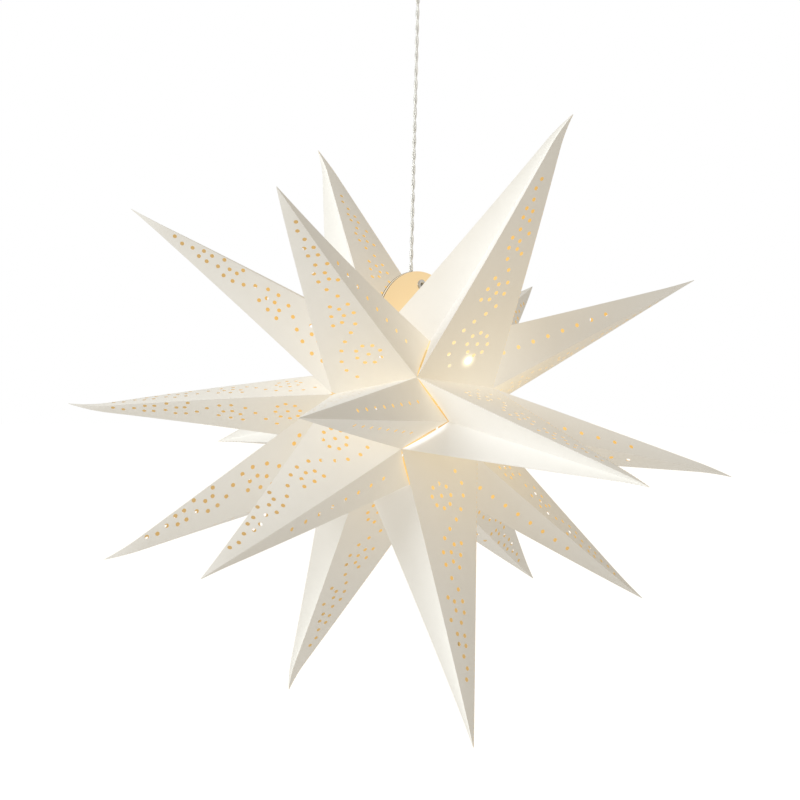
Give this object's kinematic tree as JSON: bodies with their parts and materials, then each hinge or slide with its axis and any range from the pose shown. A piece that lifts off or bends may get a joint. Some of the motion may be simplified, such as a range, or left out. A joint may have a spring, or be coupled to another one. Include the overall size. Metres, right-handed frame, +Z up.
{
  "type": "folding paper star pendant lamp",
  "caption": "Folding paper star lantern with eighteen hollow punched spikes, hung on a twisted cord from a small ceiling cup, with a push-in lamp inside.",
  "frame": {"origin": "middle of the cup's and bracket's flat face that lies on the ceiling", "axes": "+Z up into the ceiling; +Y along the level fold axis of the star, away from the side that shows in the picture's middle; the bracket's two screws lie along X"},
  "size_m": [0.5856, 0.4989, 0.6793],
  "materials": {
    "star_paper": "matt white paper, punched and scored, lit from inside",
    "end_card": "matt cream card",
    "stud_metal": "nickel-plated pressed brass",
    "cord_clear": "clear PVC over tinned strands",
    "holder_plastic": "moulded, white",
    "contact_brass": "stamped brass",
    "bulb_plastic": "moulded, white",
    "bulb_glass": "frosted",
    "led_board": "white solder mask",
    "led_chip": "phosphor",
    "cup_plastic": "moulded, white",
    "bracket_steel": "zinc plated",
    "block_plastic": "moulded, natural"
  },
  "bodies": {
    "fitting": {"ceiling_cup": "cup_plastic", "ceiling_bracket": "bracket_steel", "cup_screws": "bracket_steel", "terminal_block": "block_plastic", "terminal_screws": "contact_brass", "cord_gland": "cup_plastic", "gland_screw": "bracket_steel", "cord_tail": "cord_clear"},
    "cord": {"free_cord": "cord_clear"},
    "star": {"paper_sheet_01": "star_paper", "paper_sheet_02": "star_paper", "paper_sheet_03": "star_paper", "paper_sheet_04": "star_paper", "paper_sheet_05": "star_paper", "paper_sheet_06": "star_paper", "paper_sheet_07": "star_paper", "paper_sheet_08": "star_paper", "paper_sheet_09": "star_paper", "paper_sheet_10": "star_paper", "paper_sheet_11": "star_paper", "paper_sheet_12": "star_paper", "end_card_right": "end_card", "end_card_left": "end_card", "stud_ring_right": "stud_metal", "stud_ring_left": "stud_metal", "stud_socket": "stud_metal", "stud_post": "stud_metal", "cord_between_cards": "cord_clear", "cord_stop": "holder_plastic", "lamp_lead": "cord_clear", "lamp_holder": "holder_plastic", "holder_contacts": "contact_brass"},
    "bulb": {"bulb_base": "bulb_plastic", "bulb_pins": "contact_brass", "bulb_globe": "bulb_glass", "led_board": "led_board", "led_chips": "led_chip"}
  },
  "joints": [
    {"name": "cord_swing", "type": "hinge", "parent": "fitting", "child": "cord", "pos_m": [0, 0, -0.0416], "axis": [1, 0, 0], "range_deg": [-18, 18]},
    {"name": "star_turn", "type": "hinge", "parent": "cord", "child": "star", "pos_m": [0, 0, -0.296], "axis": [0, 0, 1], "range_deg": [-180, 180]},
    {"name": "bulb_pull", "type": "slide", "parent": "star", "child": "bulb", "axis": [0.6299, 0.7323, -0.2588], "range_m": [0, 0.01]}
  ]
}
